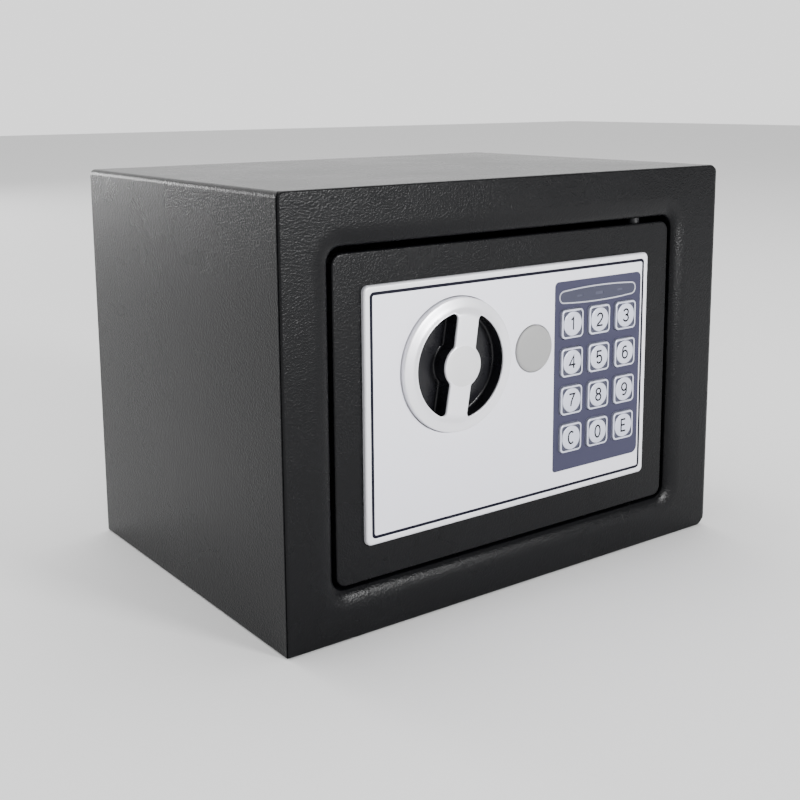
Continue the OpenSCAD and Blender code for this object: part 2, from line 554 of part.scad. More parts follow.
module drive_cam() { color([0.6, 0.6, 0.63]) place() translate([knob_x, 0, knob_z]) difference() {
  union() {
    rod_y(0, 0, 19.1, 23.5, 7);
    slab(19.1, 22.1) rotate(crank_a) { square_at(0, -4.5, crank_r, 4.5); translate([crank_r, 0]) circle(r = 4.5); }
    rod_y(crank_r * cos(crank_a), crank_r * sin(crank_a), 15.8, 19.5, 2.5);
  }
  rod_y(0, 0, 18, 25, 4);
} }
module spindle_screw() { color([0.7, 0.7, 0.72]) place() difference() {
  union() { rod_y(knob_x, knob_z, 24.5, 25.3, 6); rod_y(knob_x, knob_z, 25.3, 27.6, 3.8); }
  slab(26.6, 28) { square_at(knob_x - 2.2, knob_z - 0.4, knob_x + 2.2, knob_z + 0.4); square_at(knob_x - 0.4, knob_z - 2.2, knob_x + 0.4, knob_z + 2.2); }
} }
// ---- keys ----
module key(c, r) { color([0.8, 0.8, 0.86]) place() translate([key_cx + c * key_px, 0, key_cz + r * key_pz]) {
  s = key_s / 2;
  slab(-0.1, f_bk + 0.2) rrect(-s, -s, s, s, 2);
  slab(-0.5, -0.1) difference() { rrect(-s, -s, s, s, 2); rrect(-s + 0.85, -s + 0.85, s - 0.85, s - 0.85, 1.2); }
  rod_y(0, 0, -0.5, 0, s - 1);
  slab(f_bk + 0.2, 4) rrect(-6.85, -6.85, 6.85, 6.85, 2);
  rod_y(0, 0, 4, 5.1, 2);
} }
module key_1() { key(-1, 1.5); }
module key_2() { key(0, 1.5); }
module key_3() { key(1, 1.5); }
module key_4() { key(-1, 0.5); }
module key_5() { key(0, 0.5); }
module key_6() { key(1, 0.5); }
module key_7() { key(-1, -0.5); }
module key_8() { key(0, -0.5); }
module key_9() { key(1, -0.5); }
module key_c() { key(-1, -1.5); }
module key_0() { key(0, -1.5); }
module key_e() { key(1, -1.5); }

case_wrap();
back_panel();
front_frame();
hinge_bushes();
door_stops();
floor_mat();
door_plate();
door_backplate();
hinge_lugs();
hinge_pins();
fascia_bezel();
fascia_inlay();
faceplate();
keypad_plate();
indicator_window();
status_leds();
control_board();
key_switches();
buzzer();
m3_screws();
bolt_guides();
guide_studs();
solenoid_frame();
solenoid_coil();
spindle_bush();
lock_housing();
lock_nut();
battery_box();
battery_contacts();
batteries();
inner_cover();
reset_switch();
wiring_loom();
knob_body();
knob_face();
knob_spindle();
drive_cam();
spindle_screw();
bolt_plate();
locking_bolts();
solenoid_plunger();
plunger_spring();
key_cover();
lock_plug();
lock_cam();
key_1();
key_2();
key_3();
key_4();
key_5();
key_6();
key_7();
key_8();
key_9();
key_c();
key_0();
key_e();
battery_cover();
reset_button();
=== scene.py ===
import bpy, bmesh, math, json
from mathutils import Vector, Matrix
from mathutils.geometry import delaunay_2d_cdt


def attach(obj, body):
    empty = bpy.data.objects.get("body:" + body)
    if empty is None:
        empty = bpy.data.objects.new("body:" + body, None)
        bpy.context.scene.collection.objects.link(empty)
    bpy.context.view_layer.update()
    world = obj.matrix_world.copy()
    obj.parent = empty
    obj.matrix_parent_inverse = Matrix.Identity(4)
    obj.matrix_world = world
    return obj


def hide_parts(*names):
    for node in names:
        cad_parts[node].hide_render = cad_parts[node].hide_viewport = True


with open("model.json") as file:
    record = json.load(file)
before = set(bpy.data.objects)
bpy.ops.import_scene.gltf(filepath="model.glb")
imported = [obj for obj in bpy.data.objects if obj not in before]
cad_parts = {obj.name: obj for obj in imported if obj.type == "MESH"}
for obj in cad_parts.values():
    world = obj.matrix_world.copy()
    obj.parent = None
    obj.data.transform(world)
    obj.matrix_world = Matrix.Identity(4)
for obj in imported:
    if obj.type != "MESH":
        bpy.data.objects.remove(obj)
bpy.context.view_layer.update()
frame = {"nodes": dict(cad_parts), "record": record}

YF = -0.0805          # row-frame y of the casing's front face


def W(x, d, z):
    """x from the casing's left side, d behind its front face, z up, in mm -> row frame in metres"""
    return Vector(((x - 115.0) / 1000.0, d / 1000.0 + YF, z / 1000.0))


# ------------------------------------------------------------------ contours
def rr(x0, z0, x1, z1, rad, ins=0.0, n=8):
    if not isinstance(rad, (tuple, list)):
        rad = (rad,) * 4
    x0 += ins; z0 += ins; x1 -= ins; z1 -= ins
    out = []
    for (cx, cz, sx, sz, r0, a0) in ((x0, z0, 1, 1, rad[0], 180), (x1, z0, -1, 1, rad[1], 270),
                                     (x1, z1, -1, -1, rad[2], 0), (x0, z1, 1, -1, rad[3], 90)):
        r = max(r0 - ins, 0.05)
        for i in range(n + 1):
            a = math.radians(a0 + 90.0 * i / n)
            out.append((cx + sx * r + r * math.cos(a), cz + sz * r + r * math.sin(a)))
    return out


def circ(cx, cz, r, n=64, a0=0.0):
    return [(cx + r * math.cos(a0 + 2 * math.pi * i / n), cz + r * math.sin(a0 + 2 * math.pi * i / n)) for i in range(n)]


def offset(pts, ins):
    """moves a closed counter-clockwise outline inwards by ins"""
    n = len(pts); out = []
    for i in range(n):
        p0 = Vector(pts[i - 1]); p = Vector(pts[i]); p1 = Vector(pts[(i + 1) % n])
        e0 = (p - p0).normalized(); e1 = (p1 - p).normalized()
        n0 = Vector((-e0.y, e0.x)); n1 = Vector((-e1.y, e1.x))
        m = n0 + n1
        if m.length < 1e-6:
            m = n0
        m.normalize()
        k = max(m.dot(n0), 0.35)
        q = p + m * (ins / k)
        out.append((q.x, q.y))
    return out


def C_rr(x0, z0, x1, z1, rad, n=8, sign=1):
    return lambda ins: rr(x0, z0, x1, z1, rad, ins * sign, n)


def C_circ(cx, cz, r, n=64, sign=1):
    return lambda ins: circ(cx, cz, r - ins * sign, n)


def C_poly(pts, sign=1):
    return lambda ins: offset(pts, ins * sign)


def inside(pt, poly):
    x, y = pt; c = False; n = len(poly); j = n - 1
    for i in range(n):
        xi, yi = poly[i]; xj, yj = poly[j]
        if (yi > y) != (yj > y) and x < (xj - xi) * (y - yi) / (yj - yi) + xi:
            c = not c
        j = i
    return c


# ------------------------------------------------------------------ mesh builder
class MB:
    def __init__(s, place=None):
        s.v = []; s.f = []; s.m = []; s.place = place or W

    def pt(s, p):
        s.v.append(s.place(*p)); return len(s.v) - 1

    def ring(s, c2, d):
        return [s.pt((p[0], (d(p) if callable(d) else d), p[1])) for p in c2]

    def ring3(s, pts):
        return [s.pt(p) for p in pts]

    def face(s, idx, m=0):
        s.f.append(tuple(idx)); s.m.append(m)

    def bridge(s, a, b, m=0, closed=True):
        n = len(a)
        for i in range(n if closed else n - 1):
            j = (i + 1) % n
            s.face((a[i], a[j], b[j], b[i]), m)

    def loft(s, rings, m=0, wrap=False):
        for i in range(len(rings) - 1):
            s.bridge(rings[i], rings[i + 1], m)
        if wrap:
            s.bridge(rings[-1], rings[0], m)

    def fill(s, contours, d, m=0, extra=()):
        """flat or curved cap: first contour is the outline, the others are holes; d is a depth or a function"""
        pts = []; edges = []
        for c in contours:
            k = len(pts)
            pts += [Vector(p) for p in c]
            edges += [(k + i, k + (i + 1) % len(c)) for i in range(len(c))]
        for e in extra:
            if inside(e, contours[0]) and not any(inside(e, h) for h in contours[1:]):
                pts.append(Vector(e))
        vo, eo, fo, *_ = delaunay_2d_cdt(pts, edges, [], 0, 1e-5)
        base = len(s.v)
        for q in vo:
            s.pt((q.x, d((q.x, q.y)) if callable(d) else d, q.y))
        for f in fo:
            cx = sum(vo[i].x for i in f) / len(f); cy = sum(vo[i].y for i in f) / len(f)
            if inside((cx, cy), contours[0]) and not any(inside((cx, cy), h) for h in contours[1:]):
                s.face([base + i for i in f], m)

    def cap_fan(s, ring, p, m=0):
        c = s.pt(p); n = len(ring)
        for i in range(n):
            s.face((ring[i], ring[(i + 1) % n], c), m)

    def wall(s, contour, d_edge, d_far, b, m=0, steps=4, b_far=0.0):
        """side of a plate: rounded edge of radius b at d_edge, running to d_far"""
        sg = 1 if d_far > d_edge else -1
        rings = []
        for i in range(steps + 1):
            a = math.pi / 2 * i / steps
            rings.append(s.ring(contour(b * (1 - math.sin(a))), d_edge + sg * b * (1 - math.cos(a))))
        if b_far > 0:
            rings.append(s.ring(contour(0), d_far - sg * b_far))
            rings.append(s.ring(contour(b_far), d_far))
        else:
            rings.append(s.ring(contour(0), d_far))
        s.loft(rings, m)

    def plate(s, outer, holes, d_face, d_back, b=0.3, bh=None, m=0, m_back=None, b_far=0.0, extra=()):
        bh = b if bh is None else bh
        s.wall(outer, d_face, d_back, b, m, b_far=b_far)
        for h in holes:
            s.wall(h, d_face, d_back, bh, m, b_far=b_far)
        s.fill([outer(b)] + [h(bh) for h in holes], d_face, m, extra)
        s.fill([outer(b_far)] + [h(b_far) for h in holes], d_back, m if m_back is None else m_back, extra)

    def lathe(s, cx, cz, prof, n=96, m=0, a0=0.0):
        """profile of (radius, depth) turned about an axis along depth; radius 0 closes with a fan"""
        rings = []
        for i, (r, d) in enumerate(prof):
            rings.append(None if r < 1e-6 else s.ring(circ(cx, cz, r, n, a0), d))
        for i in range(len(prof) - 1):
            if rings[i] is None and rings[i + 1] is not None:
                s.cap_fan(rings[i + 1], (cx, prof[i][1], cz), m)
            elif rings[i + 1] is None and rings[i] is not None:
                s.cap_fan(rings[i], (cx, prof[i + 1][1], cz), m)
            elif rings[i] is not None:
                s.bridge(rings[i], rings[i + 1], m)

    def box(s, lo, hi, b=0.3, m=0):
        """box with rounded depth-face edges, given as (x, d, z) corners"""
        x0, d0, z0 = lo; x1, d1, z1 = hi
        c = C_rr(x0, z0, x1, z1, max(b, 0.1) * 1.0, n=3)
        rings = [s.ring(c(b), d0), s.ring(c(b * 0.3), d0 + b * 0.3), s.ring(c(0), d0 + b),
                 s.ring(c(0), d1 - b), s.ring(c(b * 0.3), d1 - b * 0.3), s.ring(c(b), d1)]
        s.loft(rings, m)
        s.face(rings[0][::-1], m); s.face(rings[-1], m)

    def make(s, name, mats, sharp=38.0, weighted=True, merge=4e-6):
        me = bpy.data.meshes.new(name)
        me.from_pydata([tuple(v) for v in s.v], [], s.f)
        for m in mats:
            me.materials.append(m)
        for p, mi in zip(me.polygons, s.m):
            p.material_index = mi
        bm = bmesh.new(); bm.from_mesh(me)
        bmesh.ops.remove_doubles(bm, verts=bm.verts, dist=merge)
        bmesh.ops.dissolve_degenerate(bm, edges=bm.edges, dist=1e-7)
        loose = [v for v in bm.verts if not v.link_faces]
        bmesh.ops.delete(bm, geom=loose, context="VERTS")
        bmesh.ops.recalc_face_normals(bm, faces=bm.faces)
        lim = math.radians(sharp)
        for e in bm.edges:
            e.smooth = len(e.link_faces) == 2 and e.calc_face_angle(0.0) < lim
        for f in bm.faces:
            f.smooth = True
        bm.to_mesh(me); bm.free()
        o = bpy.data.objects.new(name, me)
        bpy.context.scene.collection.objects.link(o)
        if weighted:
            w = o.modifiers.new("wn", "WEIGHTED_NORMAL"); w.keep_sharp = True; w.weight = 80
        return o


def cut(o, cutters):
    """cuts closed helper meshes out of o and removes them"""
    for c in cutters:
        md = o.modifiers.new("cut", "BOOLEAN"); md.operation = "DIFFERENCE"; md.solver = "EXACT"; md.object = c
        while o.modifiers[0] != md:
            bpy.context.view_layer.objects.active = o
            o.modifiers.move(len(o.modifiers) - 1, 0)
        bpy.context.view_layer.update()
        dg = bpy.context.evaluated_depsgraph_get()
        wn = [m for m in o.modifiers if m.type == "WEIGHTED_NORMAL"]
        for m in wn: m.show_viewport = False
        bpy.context.view_layer.update()
        dg = bpy.context.evaluated_depsgraph_get()
        me = bpy.data.meshes.new_from_object(o.evaluated_get(dg))
        o.modifiers.remove(md)
        for m in wn: m.show_viewport = True
        o.data = me
        bpy.data.objects.remove(c)
    bm = bmesh.new(); bm.from_mesh(o.data)
    for e in bm.edges:
        e.smooth = len(e.link_faces) == 2 and e.calc_face_angle(0.0) < math.radians(38)
    for f in bm.faces:
        f.smooth = True
    bm.to_mesh(o.data); bm.free()
    return o


def rod(name, a, b, r, mats=(), n=32, bev=0.0, place=W):
    """closed rod between two points with bevelled ends"""
    A = place(*a); B = place(*b); ax = (B - A); L = ax.length; ax.normalize()
    q = Vector((0, 0, 1)).rotation_difference(ax)
    mb = MB(place=lambda x, d, z: A + q @ Vector((x, d, z)))
    R = r / 1000.0; bv = bev / 1000.0
    prof = [(R - bv, 0), (R, bv), (R, L - bv), (R - bv, L)] if bev > 0 else [(R, 0), (R, L)]
    rings = [mb.ring3([(rr_ * math.cos(2 * math.pi * i / n), rr_ * math.sin(2 * math.pi * i / n), h) for i in range(n)]) for rr_, h in prof]
    mb.loft(rings)
    mb.cap_fan(rings[0], (0, 0, 0)); mb.cap_fan(rings[-1], (0, 0, L))
    return mb.make(name, list(mats))


def join(name, objs):
    """joins objects into one, keeping their materials"""
    dg = bpy.context.evaluated_depsgraph_get()
    mats = []
    bm = bmesh.new()
    for o in objs:
        idx = {}
        for i, m in enumerate(o.data.materials):
            if m not in mats:
                mats.append(m)
            idx[i] = mats.index(m)
        me = o.data.copy()
        for p in me.polygons:
            p.material_index = idx.get(p.material_index, 0)
        me.transform(o.matrix_world)
        bm.from_mesh(me)
        bpy.data.meshes.remove(me)
    me = bpy.data.meshes.new(name)
    bm.to_mesh(me); bm.free()
    for m in mats:
        me.materials.append(m)
    for o in objs:
        bpy.data.objects.remove(o)
    o = bpy.data.objects.new(name, me)
    bpy.context.scene.collection.objects.link(o)
    w = o.modifiers.new("wn", "WEIGHTED_NORMAL"); w.keep_sharp = True; w.weight = 80
    return o


def put(o, body, nodes=()):
    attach(o, body)
    if nodes:
        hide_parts(*nodes)
    return o


# ------------------------------------------------------------------ materials
def material(name, base, rough, metal=0.0, spec=0.5, coat=0.0, coat_rough=0.1, var=0.12, var_scale=60.0, grain=1500.0,
             grain_detail=2.0, bump=0.15, bump_mm=0.05, rough_var=0.08, stretch=(1, 1, 1), cells=0.0, cells_scale=800.0,
             alpha=1.0, trans=0.0, sheen=0.0, anis=0.0, dirt=None, emit=None, contrast=None):
    m = bpy.data.materials.new(name); m.use_nodes = True
    nt = m.node_tree; N = nt.nodes; L = nt.links; N.clear()
    out = N.new("ShaderNodeOutputMaterial"); P = N.new("ShaderNodeBsdfPrincipled")
    L.new(P.outputs[0], out.inputs[0])
    P.inputs["Metallic"].default_value = metal
    P.inputs["Specular IOR Level"].default_value = spec
    P.inputs["Coat Weight"].default_value = coat
    P.inputs["Coat Roughness"].default_value = coat_rough
    P.inputs["Anisotropic"].default_value = anis
    P.inputs["Transmission Weight"].default_value = trans
    P.inputs["Alpha"].default_value = alpha
    if sheen:
        P.inputs["Sheen Weight"].default_value = sheen
    if emit:
        P.inputs["Emission Color"].default_value = (*emit[0], 1); P.inputs["Emission Strength"].default_value = emit[1]
    tc = N.new("ShaderNodeTexCoord"); mp = N.new("ShaderNodeMapping")
    mp.inputs["Scale"].default_value = stretch
    if tuple(stretch) == (1, 1, 1):      # turned off the axes, so that flat faces never lie in the noise's own lattice
        mp.inputs["Rotation"].default_value = (0.61, 0.37, 0.83)
    mp.inputs["Location"].default_value = (0.0137, 0.0271, 0.0193)
    L.new(tc.outputs["Object"], mp.inputs[0])
    big = N.new("ShaderNodeTexNoise"); big.inputs["Scale"].default_value = var_scale; big.inputs["Detail"].default_value = 4
    L.new(mp.outputs[0], big.inputs["Vector"])
    fine = N.new("ShaderNodeTexNoise"); fine.inputs["Scale"].default_value = grain; fine.inputs["Detail"].default_value = grain_detail
    fine.inputs["Roughness"].default_value = 0.55
    L.new(mp.outputs[0], fine.inputs["Vector"])
    # colour: two tones mixed by the large noise, with a little of the fine one
    mix = N.new("ShaderNodeMix"); mix.data_type = "RGBA"
    c0 = [max(c * (1 - var), 0) for c in base]; c1 = [min(c * (1 + var), 1) for c in base]
    mix.inputs[6].default_value = (*c0, 1); mix.inputs[7].default_value = (*c1, 1)
    add = N.new("ShaderNodeMath"); add.operation = "MULTIPLY_ADD"; add.inputs[1].default_value = 0.45; add.inputs[2].default_value = 0.28
    L.new(fine.outputs["Fac"], add.inputs[0])
    av = N.new("ShaderNodeMath"); av.operation = "MULTIPLY"; L.new(add.outputs[0], av.inputs[0])
    b2 = N.new("ShaderNodeMath"); b2.operation = "MULTIPLY"; b2.inputs[1].default_value = 2.0; L.new(big.outputs["Fac"], b2.inputs[0])
    L.new(b2.outputs[0], av.inputs[1])
    L.new(av.outputs[0], mix.inputs[0])
    L.new(mix.outputs[2], P.inputs["Base Color"])
    mr = N.new("ShaderNodeMapRange"); mr.inputs[1].default_value = 0.3; mr.inputs[2].default_value = 0.7
    mr.inputs[3].default_value = max(rough - rough_var, 0.02); mr.inputs[4].default_value = min(rough + rough_var, 1)
    L.new(big.outputs["Fac"], mr.inputs[0]); L.new(mr.outputs[0], P.inputs["Roughness"])
    h = fine.outputs["Fac"]
    if contrast:
        cr = N.new("ShaderNodeMapRange"); cr.interpolation_type = "SMOOTHSTEP"
        cr.inputs[1].default_value = contrast[0]; cr.inputs[2].default_value = contrast[1]
        L.new(h, cr.inputs[0]); h = cr.outputs[0]
    if cells > 0:
        vo = N.new("ShaderNodeTexVoronoi"); vo.feature = "SMOOTH_F1"; vo.inputs["Scale"].default_value = cells_scale
        L.new(mp.outputs[0], vo.inputs["Vector"])
        mx = N.new("ShaderNodeMath"); mx.operation = "MULTIPLY_ADD"; mx.inputs[1].default_value = cells
        L.new(vo.outputs["Distance"], mx.inputs[0]); L.new(h, mx.inputs[2]); h = mx.outputs[0]
    bp = N.new("ShaderNodeBump"); bp.inputs["Strength"].default_value = bump; bp.inputs["Distance"].default_value = bump_mm / 1000.0
    L.new(h, bp.inputs["Height"]); L.new(bp.outputs[0], P.inputs["Normal"])
    return m


M = {}
M["black_powder_coat"] = material("powder_coat", (0.0030, 0.0031, 0.0038), 0.27, spec=0.15, var=0.25, var_scale=25, grain=1250,
                                  grain_detail=1.6, bump=0.45, bump_mm=0.10, rough_var=0.02, contrast=(0.38, 0.68))
M["zinc_steel"] = material("zinc_steel", (0.52, 0.53, 0.55), 0.34, metal=1, var=0.1, var_scale=180, grain=2500, bump=0.12, bump_mm=0.02)
M["ground_steel"] = material("ground_steel", (0.60, 0.60, 0.62), 0.22, metal=1, var=0.06, var_scale=90, grain=3000, bump=0.1, bump_mm=0.01, stretch=(1, 1, 6))
M["grey_primer"] = material("grey_primer", (0.05, 0.052, 0.056), 0.55, var=0.15, grain=1500, bump=0.25, bump_mm=0.05)
M["brass"] = material("brass", (0.62, 0.45, 0.17), 0.3, metal=1, var=0.1, var_scale=200, grain=2500, bump=0.1, bump_mm=0.02)
# dark_oxide: near-black, used on the hinge pins and bushes as painted shade; the pins themselves are bright steel,
# darkened so they read as the black gap around the door
M["dark_oxide"] = material("dark_oxide", (0.012, 0.012, 0.014), 0.4, metal=0.0, spec=0.3, var=0.2, var_scale=150, grain=2500, bump=0.2, bump_mm=0.03)
M["felt"] = material("felt", (0.022, 0.022, 0.025), 0.95, spec=0.2, var=0.35, var_scale=900, grain=2600, grain_detail=4, bump=0.9, bump_mm=0.4, sheen=0.3)
M["silver_paint_plastic"] = material("silver_paint", (0.80, 0.80, 0.84), 0.40, metal=0.35, var=0.02, var_scale=20, grain=4200, bump=0.06, bump_mm=0.02, rough_var=0.03)
M["faceplate"] = material("satin_plate", (0.80, 0.80, 0.87), 0.44, metal=0.45, var=0.02, var_scale=14, grain=5200, bump=0.07, bump_mm=0.02, rough_var=0.03)
M["knob_silver"] = material("knob_silver", (0.88, 0.88, 0.93), 0.30, metal=0.35, var=0.02, var_scale=30, grain=5000, bump=0.05, bump_mm=0.015, rough_var=0.03)
M["hub_grey"] = material("hub_satin", (0.68, 0.68, 0.70), 0.5, metal=0.35, var=0.03, var_scale=60, grain=5000, bump=0.08, bump_mm=0.02)
M["black_plastic"] = material("black_plastic", (0.014, 0.014, 0.016), 0.42, var=0.2, var_scale=60, grain=2600, bump=0.25, bump_mm=0.04)
M["gloss_black"] = material("knob_black", (0.006, 0.006, 0.008), 0.28, spec=0.25, var=0.2, var_scale=60, grain=1800, bump=0.05, bump_mm=0.02)
# near-black navy for the groove round the faceplate: the navy tinge is the line's own colour, the near-black depth of
# tone is painted shade of a deep groove
M["inlay_navy"] = material("inlay_navy", (0.004, 0.004, 0.012), 0.55, spec=0.1, var=0.1, grain=3000, bump=0.05, bump_mm=0.02)
M["slate_plate"] = material("slate_plate", (0.034, 0.034, 0.068), 0.45, spec=0.22, var=0.05, var_scale=40, grain=4500, bump=0.06, bump_mm=0.02)
M["window_slate"] = material("window_lens", (0.033, 0.035, 0.062), 0.2, spec=0.35, var=0.04, var_scale=80, grain=900, bump=0.03, bump_mm=0.02)
M["window_dark"] = material("window_dark", (0.045, 0.048, 0.085), 0.2, var=0.1, grain=2500, bump=0.03, bump_mm=0.02)
M["key_silver"] = material("key_silver", (0.62, 0.64, 0.76), 0.34, metal=0.55, var=0.03, var_scale=70, grain=4500, bump=0.05, bump_mm=0.02, rough_var=0.04)
M["key_dark"] = material("key_recess", (0.034, 0.036, 0.066), 0.5, var=0.1, grain=3500, bump=0.05, bump_mm=0.02)
M["legend"] = material("legend_ink", (0.004, 0.004, 0.007), 0.65, spec=0.1, var=0.08, grain=4000, bump=0.05, bump_mm=0.01)
M["outline"] = material("outline_ink", (0.42, 0.43, 0.50), 0.45, var=0.05, grain=4000, bump=0.05, bump_mm=0.01)
M["cap_grey"] = material("cap_grey", (0.30, 0.30, 0.298), 0.5, var=0.025, var_scale=30, grain=3500, bump=0.08, bump_mm=0.02, rough_var=0.03)
M["led_lens"] = material("led_lens", (0.35, 0.03, 0.02), 0.15, var=0.05, trans=0.4, grain=900, bump=0.02, bump_mm=0.02)
M["circuit_board"] = material("circuit_board", (0.012, 0.075, 0.03), 0.35, var=0.3, var_scale=350, grain=1800, bump=0.1, bump_mm=0.03)
M["coil_tape"] = material("coil_tape", (0.24, 0.05, 0.02), 0.3, var=0.2, var_scale=120, grain=1500, bump=0.2, bump_mm=0.05, stretch=(1, 1, 8))
M["spring_steel"] = material("spring_steel", (0.5, 0.5, 0.52), 0.25, metal=1, var=0.08, grain=3000, bump=0.06, bump_mm=0.01)
M["nickel_strip"] = material("nickel_strip", (0.56, 0.53, 0.47), 0.3, metal=1, var=0.1, grain=2500, bump=0.08, bump_mm=0.02)
M["cell_jacket"] = material("cell_jacket", (0.03, 0.035, 0.05), 0.28, var=0.15, var_scale=90, grain=1200, bump=0.05, bump_mm=0.02)
M["wire_sleeve"] = material("wire_sleeve", (0.30, 0.012, 0.010), 0.4, var=0.1, grain=1800, bump=0.08, bump_mm=0.02)
M["red_plastic"] = material("red_plastic", (0.36, 0.014, 0.010), 0.32, var=0.08, grain=2500, bump=0.08, bump_mm=0.02)
for s in frame["record"]["materials"]:
    if s["slot"] not in M:
        M[s["slot"]] = material("m_" + s["slot"], tuple(s["base_color"][:3]), 0.5)
slot_of = {s["node"]: s["material_slot"] for s in frame["record"]["subparts"]}
for n, o in frame["nodes"].items():
    m = M[slot_of[n]]
    if n == "faceplate":
        m = M["faceplate"]
    # hinge pins and bushes painted near-black: painted shade, so that they read as the dark gap they sit in
    if n in ("hinge_pins", "hinge_bushes"):
        m = M["dark_oxide"]
    if len(o.material_slots) == 0:
        o.data.materials.append(m)
    for ms in o.material_slots:
        ms.material = m

# ------------------------------------------------------------------ sizes, mm
CW, CH, CD, T = 230.0, 170.0, 165.0, 1.5
FOLD = (0.8, 4.5, 3.5, 2.5)
OX0, OX1, OZ0, OZ1, ORC, LIP, FLD = 21.5, 202.8, 19.0, 148.8, 6.0, 3.2, 18.0
ROLL = 8.5
DX0, DX1, DZ0, DZ1, DRC, DF, DB = 23.5, 200.8, 20.2, 146.4, 4.5, 2.4, 5.4
FX0, FX1, FZ0, FZ1, FD = 36.0, 186.5, 34.3, 133.7, 0.5
KX, KZ, KR = 79.1, 98.8, 26.65
LX, LZ = 119.5, 99.7
HX, HD = 184.8, 8.9
FLOOR = FD + 0.8


def outline(ins=0.0):
    return rr(0, 0, CW, CH, FOLD, ins, n=10)


def opening(grow=0.0):
    return rr(OX0, OZ0, OX1, OZ1, ORC, -grow, n=10)


# ------------------------------------------------------------------ casing
def seam_d(lo, hi):
    """depth that is lo along the left and right sides and hi along the top and bottom folds"""
    def f(p):
        e = min(p[0], CW - p[0])
        return lo + (hi - lo) * min(max((e - 0.55) / 0.9, 0), 1)
    return f


def sides(ins, fold=0.0):
    """outline drawn in by ins at the left and right only"""
    return [(CW / 2 + (x - CW / 2) * (CW / 2 - ins) / (CW / 2), z) for x, z in outline(fold)]


mb = MB()
R = [mb.ring(sides(0.42), T), mb.ring(sides(0.36), seam_d(0.62, T)), mb.ring(sides(0.2), seam_d(0.5, T)), mb.ring(outline(0.06), seam_d(0.56, T + 0.04)),
     mb.ring(outline(0.0), seam_d(0.72, T + 0.15)), mb.ring(outline(0.0), CD - 0.5),
     mb.ring(outline(0.15), CD - 0.15), mb.ring(outline(0.5), CD), mb.ring(outline(T - 0.02), CD), mb.ring(outline(T), CD - 0.1), mb.ring(outline(T), T)]
mb.loft(R, wrap=True)
wrap = mb.make("casing_wrap", [M["black_powder_coat"]])
cut(wrap, [rod("c%d" % s, (115 + s * 50, 95, -2), (115 + s * 50, 95, 4), 5.0, n=48) for s in (-1, 1)])
put(wrap, "casing", ["case_wrap"])

mb = MB()
inner = lambda ins: rr(T, T, CW - T, CH - T, (0.2, 3.0, 2.0, 1.0), ins + 0.02, n=8)
mb.plate(inner, [C_circ(115 - 45, 85, 5, 48, -1), C_circ(115 + 45, 85, 5, 48, -1)], CD - 0.05, CD - T, b=0.25)
put(mb.make("casing_back", [M["black_powder_coat"]]), "casing", ["back_panel"])

mb = MB()
R = [mb.ring(sides(0.5, 0.12), T), mb.ring(sides(0.5), T - 0.1), mb.ring(sides(0.5), 0.9)]
for i in range(1, 7):
    a = math.pi / 2 * i / 6
    R.append(mb.ring(sides(0.5 + 0.5 * (1 - math.cos(a)), 0.75 * (1 - math.cos(a))), 0.9 * (1 - math.sin(a))))
for i in range(0, 17):      # broad soft roll into the opening, ending in a tight lip
    a = math.pi / 2 * i / 16
    R.append(mb.ring(opening(ROLL * (1 - math.sin(a))), LIP * (1 - math.cos(a))))
R += [mb.ring(opening(0), FLD - 0.3), mb.ring(opening(0.3), FLD), mb.ring(opening(T), FLD), mb.ring(opening(T), LIP)]
for i in range(1, 6):
    a = math.pi / 2 * i / 5
    R.append(mb.ring(opening(LIP - (LIP - T) * math.cos(a)), LIP - (LIP - T) * math.sin(a)))
mb.loft(R, wrap=True)
put(mb.make("front_frame_sheet", [M["black_powder_coat"]]), "casing", ["front_frame"])

# ------------------------------------------------------------------ door plate and fascia
mb = MB()
cutout = C_rr(40.5, 39.5, 182.1, 128.5, 1.5, n=6, sign=-1)
mb.plate(C_rr(DX0, DZ0, DX1, DZ1, DRC, n=10), [cutout], DF, DB, b=0.8, bh=0.2, b_far=0.3)
put(mb.make("door_sheet", [M["black_powder_coat"]]), "door", ["door_plate"])

mb = MB()   # raised border with its rounded outer edge and the step down to the dark line
out = C_rr(FX0, FZ0, FX1, FZ1, 2.4, n=10)
inn = lambda e: rr(FX0 + 2.5, FZ0 + 2.5, FX1 - 2.5, FZ1 - 2.5, 1.9, -e, n=10)
R = [mb.ring(out(0), DF), mb.ring(out(0), FD + 0.95)]
for i in range(1, 9):
    a = math.pi / 2 * i / 8
    R.append(mb.ring(out(0.95 * (1 - math.cos(a))), FD + 0.95 * (1 - math.sin(a))))
R += [mb.ring(inn(0.25), FD), mb.ring(inn(0.07), FD + 0.06), mb.ring(inn(0), FD + 0.22), mb.ring(inn(0), FLOOR)]
mb.loft(R)
knob = lambda r: C_circ(KX, KZ, r, 96, -1)(0)      # knob well with its floor, lock bore with its counterbore
lock = lambda r: C_circ(LX, LZ, r, 64, -1)(0)
holes = []
for i in (-1, 0, 1):
    for j in (-1.5, -0.5, 0.5, 1.5):
        cx, cz = 156.45 + i * 15.8, 83.05 + j * 16.37
        holes.append(C_rr(cx - 6.45, cz - 6.45, cx + 6.45, cz + 6.45, 2.3, n=4, sign=-1))
mb.fill([inn(0), knob(KR + 0.4), lock(10.0)] + [h(0) for h in holes], FLOOR)
for h in holes:
    mb.loft([mb.ring(h(0), FLOOR), mb.ring(h(0), 3.0)])
mb.loft([mb.ring(lock(10.0), FLOOR), mb.ring(lock(10.0), 2.0), mb.ring(lock(7.5), 2.0), mb.ring(lock(7.5), 3.0)])
mb.loft([mb.ring(knob(KR + 0.4), FLOOR), mb.ring(knob(KR + 0.4), 6.0), mb.ring(knob(6.0), 6.0), mb.ring(knob(6.0), 7.5),
         mb.ring(knob(KR + 1.9), 7.5), mb.ring(knob(KR + 1.9), 3.0)])
